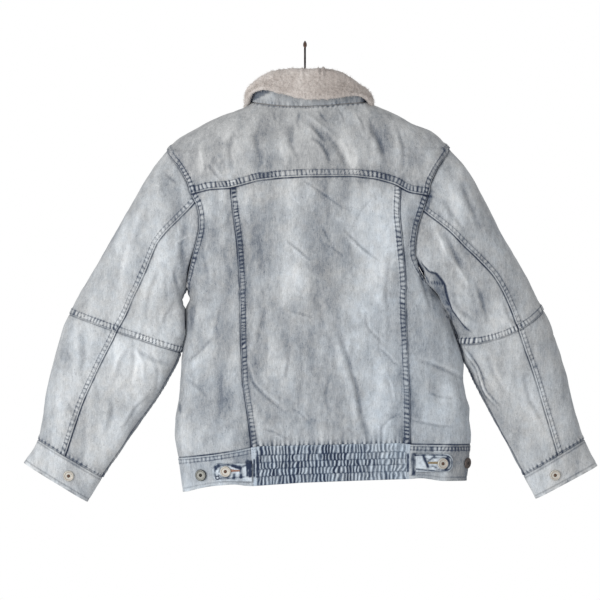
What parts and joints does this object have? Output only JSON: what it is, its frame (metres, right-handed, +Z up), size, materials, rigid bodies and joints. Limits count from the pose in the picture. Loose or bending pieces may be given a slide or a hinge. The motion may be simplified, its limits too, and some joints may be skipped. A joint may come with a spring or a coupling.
{
  "type": "sherpa lined denim jacket on a hanger",
  "caption": "Light bleached denim trucker jacket with a sherpa collar, elastic back waist and side tabs, buttoned and hanging on a hanger.",
  "frame": {"origin": "inner top of the hanger's hook loop, where a rail or peg holds it", "axes": "+Z up, +X to the wearer's left, -Y the way the front faces, so +Y is behind the back"},
  "size_m": [0.9048, 0.129, 0.7274],
  "materials": {
    "denim": "matte bleached cotton twill",
    "sherpa": "matte curly pile",
    "button": "satin",
    "dark_button": "satin",
    "hanger_wood": "satin",
    "hook_wire": "satin"
  },
  "bodies": {
    "root": {"back_center": "denim", "back_side_L": "denim", "back_side_R": "denim", "front_L": "denim", "front_R": "denim", "placket": "denim", "waistband_L": "denim", "waistband_R": "denim", "sleeve_upper_top_L": "denim", "sleeve_upper_under_L": "denim", "sleeve_lower_top_L": "denim", "sleeve_lower_under_L": "denim", "sleeve_upper_top_R": "denim", "sleeve_upper_under_R": "denim", "sleeve_lower_top_R": "denim", "sleeve_lower_under_R": "denim", "back_yoke": "denim", "waistband_back_elastic": "denim", "tab_L": "denim", "tab_R": "denim", "cuff_L": "denim", "cuff_R": "denim", "collar_under": "denim", "welt_L": "denim", "welt_R": "denim", "tab_button_L": "button", "tab_button_R": "button", "adjust_button_L": "button", "waist_button": "button", "cuff_button_L": "button", "cuff_button_R": "button", "front_button_1": "button", "front_button_2": "button", "front_button_3": "button", "front_button_4": "button", "front_button_5": "button", "front_button_6": "button", "adjust_button_R": "dark_button", "collar_sherpa": "sherpa", "hanger_body": "hanger_wood", "hanger_hook": "hook_wire"}
  },
  "joints": []
}
